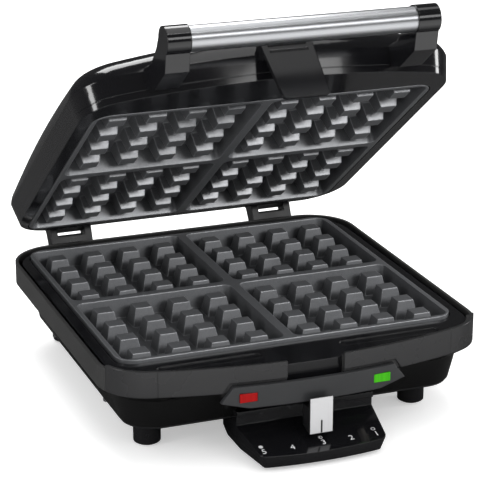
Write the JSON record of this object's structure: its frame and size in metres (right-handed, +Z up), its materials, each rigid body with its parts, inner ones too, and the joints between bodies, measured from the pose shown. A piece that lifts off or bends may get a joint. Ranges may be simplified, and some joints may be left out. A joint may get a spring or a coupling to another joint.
{
  "type": "belgian waffle maker",
  "caption": "Electric waffle maker for square belgian waffles: a hinged domed lid with a bar handle over a base with grid plates, lamps and a browning lever.",
  "frame": {"origin": "on the table, below the centre of the bounding box as pictured, lid open", "axes": "-Y towards the front with the handle and the controls, +X to the machine's right seen from the front, +Z up"},
  "size_m": [0.29, 0.347, 0.3109],
  "materials": {
    "gloss_black": "gloss",
    "satin_black": "satin",
    "bezel_grey": "satin",
    "nonstick": "satin",
    "tube_aluminium": "brushed",
    "steel": "brushed",
    "element_sheath": "matt",
    "silver_knob": "satin",
    "red_lens": "gloss",
    "green_lens": "gloss",
    "lamp_glass": "gloss",
    "rubber": "matt",
    "ceramic": "matt"
  },
  "bodies": {
    "base": {"front_fascia": "gloss_black", "base_housing": "gloss_black", "base_deck": "satin_black", "bottom_cover": "satin_black", "bottom_cover_screws": "steel", "foot_front_left": "satin_black", "foot_front_right": "satin_black", "foot_rear_left": "satin_black", "foot_rear_right": "satin_black", "foot_pads": "rubber", "foot_screws": "steel", "lower_grid_plate": "nonstick", "lower_heating_element": "element_sheath", "lower_reflector": "steel", "lower_plate_screws": "steel", "thermostat_body": "ceramic", "control_shelf": "gloss_black", "control_bezel": "bezel_grey", "heating_lamp_lens": "red_lens", "ready_lamp_lens": "green_lens", "neon_lamps": "lamp_glass", "hinge_bracket_left": "satin_black", "hinge_bracket_right": "satin_black", "hinge_pins": "steel", "hinge_bracket_screws": "steel", "cord_gland": "satin_black", "terminal_block": "ceramic", "thermal_fuse": "steel"},
    "lid": {"upper_grid_plate": "nonstick", "upper_heating_element": "element_sheath", "upper_reflector": "steel", "upper_plate_studs": "steel", "lid_rim": "gloss_black", "lid_cover": "gloss_black", "lid_standoffs": "satin_black", "lid_front_tab": "gloss_black", "handle_bracket_left": "gloss_black", "handle_bracket_right": "gloss_black", "handle_tube": "tube_aluminium", "handle_rod": "steel", "handle_bracket_screws": "steel", "lid_hinge_arm_left": "satin_black", "lid_hinge_arm_right": "satin_black", "lid_hinge_screws": "steel"},
    "browning_lever": {"thermostat_shaft": "steel", "browning_lever_arm": "steel", "browning_lever_knob": "satin_black", "browning_lever_plate": "silver_knob"}
  },
  "joints": [
    {"name": "lid_hinge", "type": "hinge", "parent": "base", "child": "lid", "pos_m": [0, 0.165, 0.0838], "axis": [-1, 0, 0], "range_deg": [-36.4, 63.6]},
    {"name": "browning_lever_pivot", "type": "hinge", "parent": "base", "child": "browning_lever", "pos_m": [0, 0.0155, 0.0368], "axis": [0, 0, 1], "range_deg": [-14, 14]}
  ]
}
